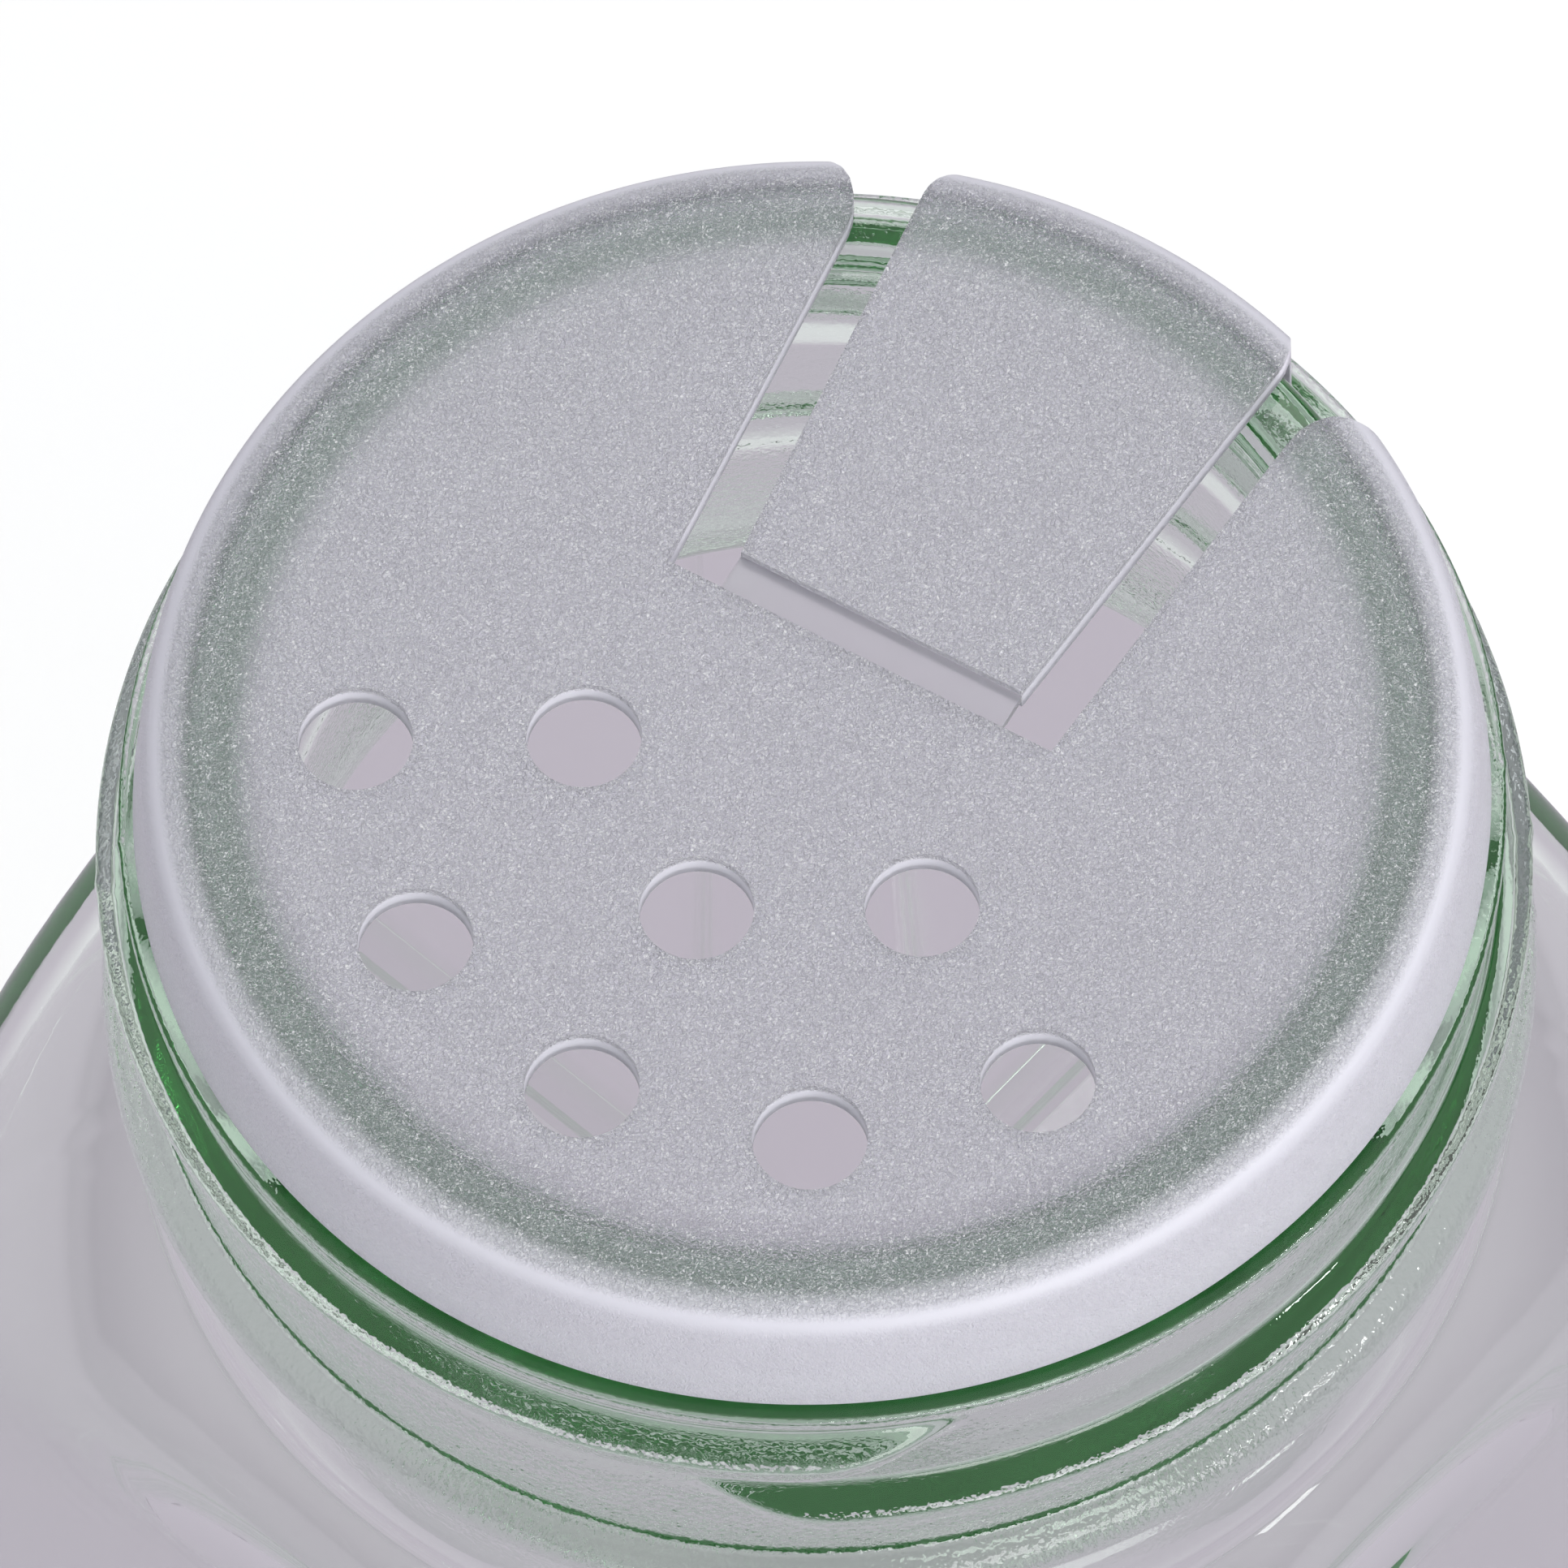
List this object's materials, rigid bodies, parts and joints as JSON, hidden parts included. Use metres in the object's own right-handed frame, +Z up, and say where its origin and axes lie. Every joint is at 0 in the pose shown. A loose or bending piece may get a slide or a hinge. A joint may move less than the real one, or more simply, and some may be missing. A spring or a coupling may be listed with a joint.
{
  "type": "spice jar",
  "caption": "Square clear glass spice jar with a threaded neck and a frosted push-fit shaker insert, with sift holes and a flap on a living hinge that lifts to pour.",
  "frame": {"origin": "centre of the base, on the surface that the jar stands on", "axes": "+Z up along the neck's axis, +X and +Y square to the body's flat sides; the flap points to the back, 12 degrees from +Y towards -X"},
  "size_m": [0.046, 0.046, 0.103],
  "materials": {
    "clear_glass": "clear soda-lime glass, green where the light's path in it is long, with fire-polished ripples on the neck",
    "natural_polypropylene": "uncoloured translucent polypropylene, with a fine moulded grain on the disc and a smooth skirt",
    "thin_polypropylene": "the same polypropylene, thin, smooth and clearer, at the living hinge"
  },
  "bodies": {
    "jar": {"glass_jar": "clear_glass"},
    "insert": {"shaker_insert": "natural_polypropylene", "hinge_web": "thin_polypropylene"},
    "flap": {"pour_flap": "natural_polypropylene"}
  },
  "joints": [
    {"name": "insert_lift", "type": "slide", "parent": "jar", "child": "insert", "axis": [0, 0, 1], "range_m": [0, 0.03]},
    {"name": "flap_hinge", "type": "hinge", "parent": "insert", "child": "flap", "pos_m": [-0.00075, 0.00352, 0.10255], "axis": [0.9781, 0.2079, 0], "range_deg": [0, 95], "deforming": ["hinge_web"]}
  ]
}
